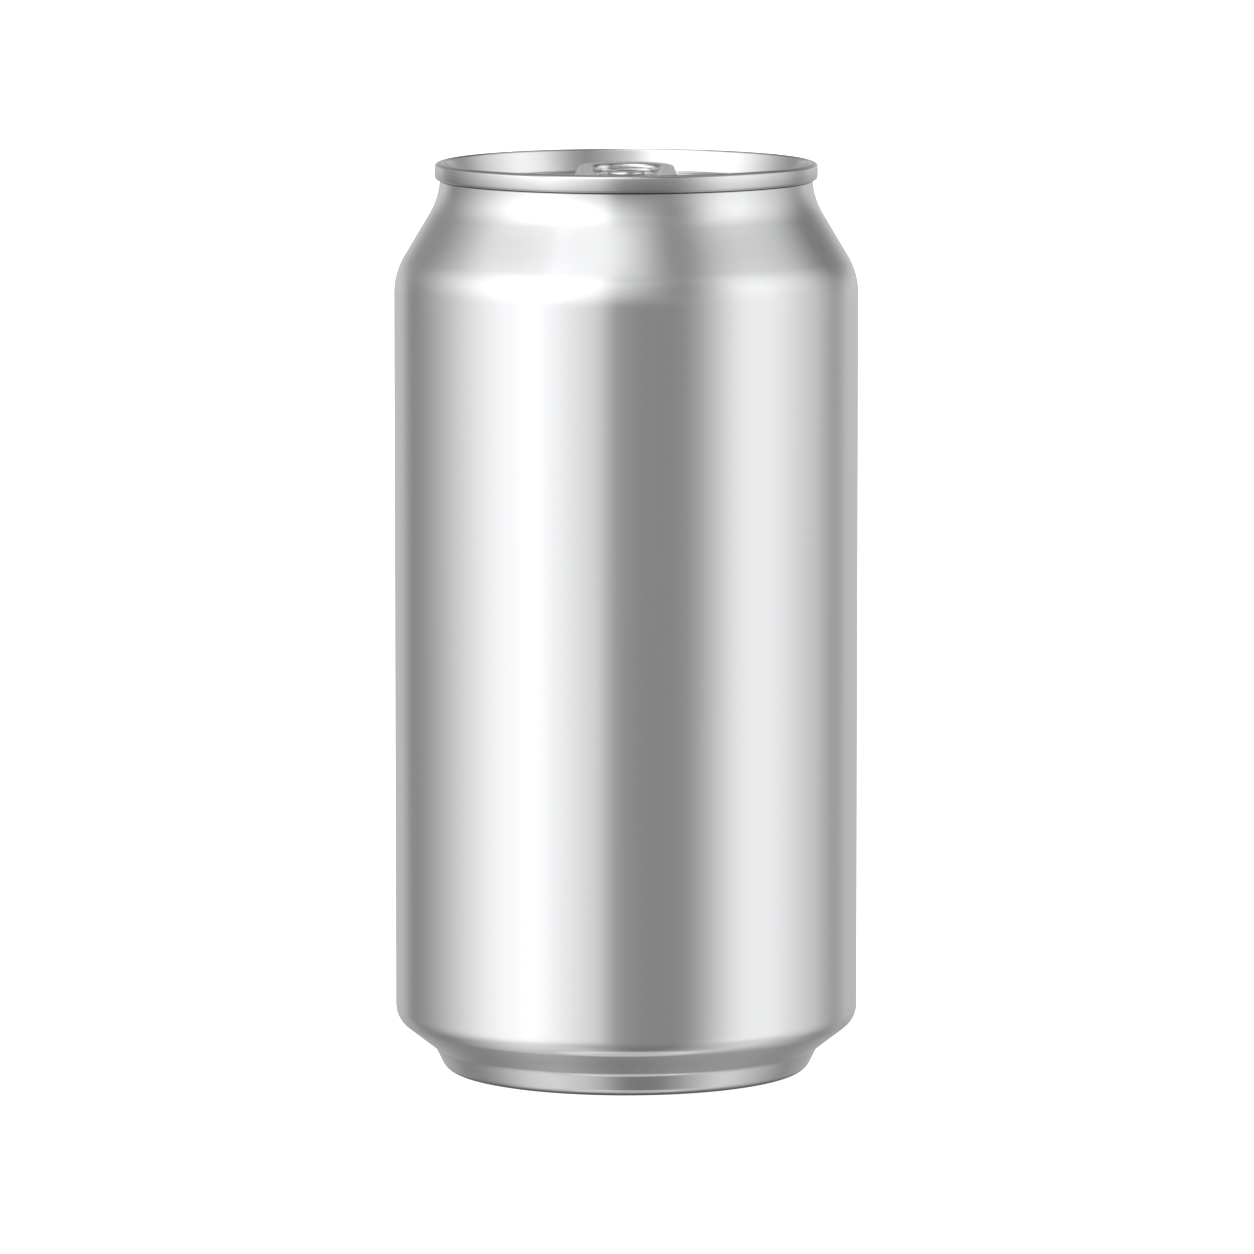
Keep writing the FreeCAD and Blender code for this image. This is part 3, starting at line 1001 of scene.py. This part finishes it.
def lay_floor(studio):
    mesh = bmesh.new()
    bmesh.ops.create_grid(mesh, x_segments=2, y_segments=2, size=studio.floor_size)
    data = bpy.data.meshes.new("floor")
    mesh.to_mesh(data)
    mesh.free()
    material = bpy.data.materials.new("pale_floor")
    material.use_nodes = True
    shader = material.node_tree.nodes["Principled BSDF"]
    shader.inputs["Base Color"].default_value = studio.floor_colour
    shader.inputs["Roughness"].default_value = FLOOR_ROUGHNESS
    shader.inputs["Emission Color"].default_value = studio.floor_colour
    shader.inputs["Emission Strength"].default_value = studio.floor_glow
    data.materials.append(material)
    floor = bpy.data.objects.new("floor", data)
    bpy.context.collection.objects.link(floor)
    floor.visible_glossy = False


def lay_contact_shade():
    """The darker ring on the floor where the can touches it, for its reflections alone."""
    mesh = bmesh.new()
    bmesh.ops.create_circle(
        mesh, cap_ends=True, segments=SMALL_ROUND_STEPS, radius=SHADE_FADE[1]
    )
    bmesh.ops.translate(mesh, verts=mesh.verts[:], vec=(0, 0, -SHADE_DROP))
    data = bpy.data.meshes.new("contact_shade")
    mesh.to_mesh(data)
    mesh.free()
    material = bpy.data.materials.new("contact_shade")
    material.use_nodes = True
    nodes, links = material.node_tree.nodes, material.node_tree.links
    nodes.remove(nodes["Principled BSDF"])
    place = nodes.new("ShaderNodeTexCoord")
    reach = nodes.new("ShaderNodeVectorMath")
    reach.operation = "LENGTH"
    fade = nodes.new("ShaderNodeMapRange")
    fade.interpolation_type = "SMOOTHSTEP"
    fade.inputs["From Min"].default_value = SHADE_FADE[0]
    fade.inputs["From Max"].default_value = SHADE_FADE[1]
    clear = nodes.new("ShaderNodeBsdfTransparent")
    dark = nodes.new("ShaderNodeEmission")
    dark.inputs["Strength"].default_value = SHADE_GLOW
    mix = nodes.new("ShaderNodeMixShader")
    links.new(place.outputs["Object"], reach.inputs[0])
    links.new(reach.outputs["Value"], fade.inputs["Value"])
    links.new(fade.outputs["Result"], mix.inputs["Fac"])
    links.new(dark.outputs["Emission"], mix.inputs[1])
    links.new(clear.outputs["BSDF"], mix.inputs[2])
    links.new(mix.outputs["Shader"], nodes["Material Output"].inputs["Surface"])
    data.materials.append(material)
    shade = bpy.data.objects.new("contact_shade", data)
    bpy.context.collection.objects.link(shade)
    shade.visible_camera = False
    shade.visible_diffuse = False
    shade.visible_shadow = False


def hang_overhead(studio):
    data = bpy.data.lights.new("overhead", "AREA")
    data.shape = "SQUARE"
    data.size = OVERHEAD_SIZE
    data.energy = studio.overhead_power
    lamp = bpy.data.objects.new("overhead", data)
    lamp.location = OVERHEAD_PLACE
    lamp.visible_glossy = False
    lamp.visible_camera = False
    bpy.context.collection.objects.link(lamp)


def place_camera(studio):
    data = bpy.data.cameras.new("camera")
    data.lens = studio.camera_lens
    data.sensor_width = SENSOR_WIDTH
    data.clip_end = FARTHEST_VIEW
    camera = bpy.data.objects.new("camera", data)
    middle = Vector((0, 0, end_high.z / 2))
    elevation = studio.camera_elevation
    away = Vector((0, -math.cos(elevation), math.sin(elevation)))
    camera.location = middle + away * studio.camera_distance
    aim = middle + Vector(AIM_OFFSET)
    camera.rotation_mode = "QUATERNION"
    camera.rotation_quaternion = (aim - camera.location).to_track_quat("-Z", "Y")
    bpy.context.collection.objects.link(camera)
    bpy.context.scene.camera = camera


class CAN_OT_studio(bpy.types.Operator):
    """Set up the white floor, the soft light and the camera"""

    bl_idname = "can.studio"
    bl_label = "Studio"

    def execute(self, context):
        studio = context.scene.can_studio
        context.scene.view_settings.view_transform = "Standard"
        light_world()
        lay_floor(studio)
        lay_contact_shade()
        hang_overhead(studio)
        place_camera(studio)
        return {"FINISHED"}


class CAN_PT_panel(bpy.types.Panel):
    """Lists the pieces of the can and the studio"""

    bl_idname = "CAN_PT_panel"
    bl_label = "Drinks Can"
    bl_space_type = "VIEW_3D"
    bl_region_type = "UI"
    bl_category = "Drinks Can"

    def draw(self, context):
        for operator in OPERATORS:
            self.layout.operator(operator.bl_idname)


OPERATORS = (CAN_OT_body, CAN_OT_end, CAN_OT_tab, CAN_OT_studio)
SETTINGS = {
    "can_body": BodySettings,
    "can_end": EndSettings,
    "can_tab": TabSettings,
    "can_finish": FinishSettings,
    "can_studio": StudioSettings,
}


def register():
    for group in SETTINGS.values():
        bpy.utils.register_class(group)
    for operator in OPERATORS:
        bpy.utils.register_class(operator)
    bpy.utils.register_class(CAN_PT_panel)
    for name, group in SETTINGS.items():
        setattr(bpy.types.Scene, name, bpy.props.PointerProperty(type=group))


def unregister():
    for name in SETTINGS:
        delattr(bpy.types.Scene, name)
    bpy.utils.unregister_class(CAN_PT_panel)
    for operator in reversed(OPERATORS):
        bpy.utils.unregister_class(operator)
    for group in reversed(SETTINGS.values()):
        bpy.utils.unregister_class(group)


def main():
    register()
    bpy.ops.can.body()
    bpy.ops.can.end()
    bpy.ops.can.tab()
    bpy.ops.can.studio()


if __name__ == "__main__":
    main()
